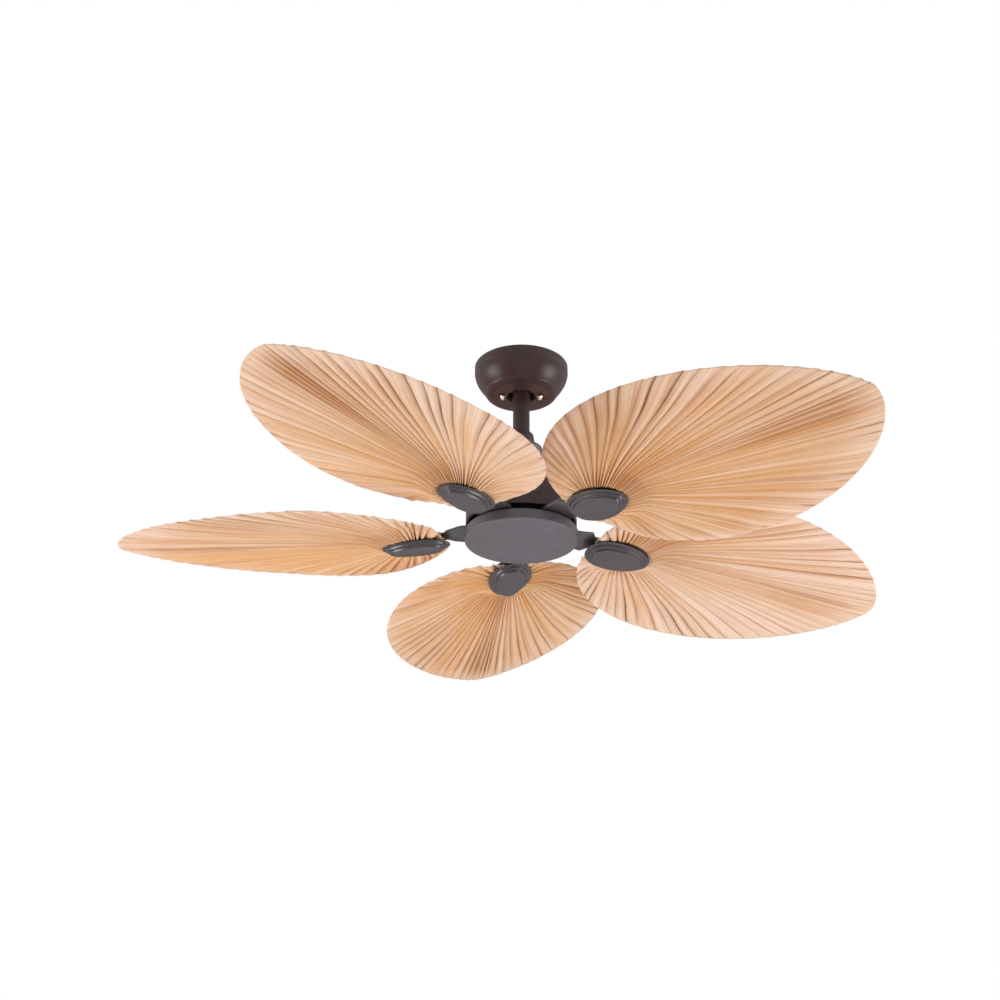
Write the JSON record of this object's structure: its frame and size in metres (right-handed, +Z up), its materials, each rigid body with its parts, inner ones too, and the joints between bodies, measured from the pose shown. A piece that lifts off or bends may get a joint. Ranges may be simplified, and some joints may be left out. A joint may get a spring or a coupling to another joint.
{
  "type": "ceiling fan",
  "caption": "Ceiling fan on a downrod: dark bell-shaped motor housing, round canopy, and pleated palm-leaf blades held by flat arms under oval medallions.",
  "frame": {"origin": "on the ceiling plane, midway between the two ceiling slots of the hanger bracket, on the fan's axis", "axes": "+Z up along the downrod and the motor shaft, +X along the row of ceiling slots, +Y away from the side that the picture was taken from"},
  "size_m": [1.2495, 1.2419, 0.3391],
  "materials": {
    "zinc": "zinc-plated steel, satin",
    "bracket_black": "black powder-coated steel",
    "medallion_bronze": "cast aluminium under oil-rubbed bronze paint",
    "ground_green": "green lacquered steel",
    "black_case": "black moulded case",
    "terminal_plastic": "off-white moulded",
    "lead_insulation": "soft insulation",
    "bronze": "oil-rubbed bronze paint, satin",
    "canopy_screw": "bright nickel",
    "ball_plastic": "dark moulded nylon",
    "coupling_iron": "cast, unpainted",
    "lamination": "stacked electrical steel",
    "copper_winding": "enamelled copper wire",
    "bearing_brass": "balls with a pressed cage",
    "rotor_aluminium": "die cast",
    "arm_bronze": "oil-rubbed bronze paint, satin",
    "palm_leaf": "dried natural palm leaf, satin"
  },
  "bodies": {
    "ceiling_hanger": {"hanger_bracket": "bracket_black", "ground_screw": "ground_green", "receiver": "black_case", "receiver_screws": "zinc", "terminal_block": "terminal_plastic", "receiver_leads": "lead_insulation", "canopy": "bronze", "canopy_screws": "canopy_screw"},
    "ball_key": {"locating_pin": "zinc"},
    "hanging_fan": {"hanger_ball": "ball_plastic", "ball_pin": "zinc", "set_screws": "zinc", "downrod": "bronze", "motor_leads": "lead_insulation", "coupling_cover": "bronze", "downrod_coupling": "coupling_iron", "clevis_pin": "zinc", "cotter_pin": "zinc", "motor_housing": "bronze", "housing_screws": "zinc", "capacitor_bracket": "zinc", "run_capacitor": "black_case", "motor_shaft": "zinc", "stator_core": "lamination", "stator_windings": "copper_winding", "top_bearing_inner": "zinc", "low_bearing_inner": "zinc", "retaining_ring": "zinc", "support_plate": "zinc", "lock_washer": "zinc", "shaft_nut": "zinc", "bottom_cover": "bronze"},
    "rotor": {"top_bearing_outer": "zinc", "low_bearing_outer": "zinc", "rotor_top_shell": "rotor_aluminium", "rotor_bottom_shell": "rotor_aluminium", "rotor_ring": "lamination", "rotor_screws": "zinc", "arm_1": "arm_bronze", "arm_2": "arm_bronze", "arm_3": "arm_bronze", "arm_4": "arm_bronze", "arm_5": "arm_bronze", "arm_screws": "zinc", "leaf_1": "palm_leaf", "leaf_2": "palm_leaf", "leaf_3": "palm_leaf", "leaf_4": "palm_leaf", "leaf_5": "palm_leaf", "medallion_1": "medallion_bronze", "medallion_2": "medallion_bronze", "medallion_3": "medallion_bronze", "medallion_4": "medallion_bronze", "medallion_5": "medallion_bronze", "leaf_screws": "zinc"},
    "bearing_cages": {"top_bearing_balls": "bearing_brass", "low_bearing_balls": "bearing_brass"}
  },
  "joints": [
    {"name": "ball_tilt_x", "type": "hinge", "parent": "ceiling_hanger", "child": "ball_key", "pos_m": [0, 0, -0.027], "axis": [1, 0, 0], "range_deg": [-12, 12]},
    {"name": "ball_tilt_y", "type": "hinge", "parent": "ball_key", "child": "hanging_fan", "pos_m": [0, 0, -0.027], "axis": [0, 1, 0], "range_deg": [-12, 12]},
    {"name": "rotor_spin", "type": "hinge", "parent": "hanging_fan", "child": "rotor", "pos_m": [0, 0, -0.26], "axis": [0, 0, 1], "continuous": true},
    {"name": "cage_spin", "type": "hinge", "parent": "hanging_fan", "child": "bearing_cages", "pos_m": [0, 0, -0.26], "axis": [0, 0, 1], "continuous": true}
  ],
  "couplings": [
    {"joint": "cage_spin", "follows": "rotor_spin", "ratio": 0.62}
  ]
}
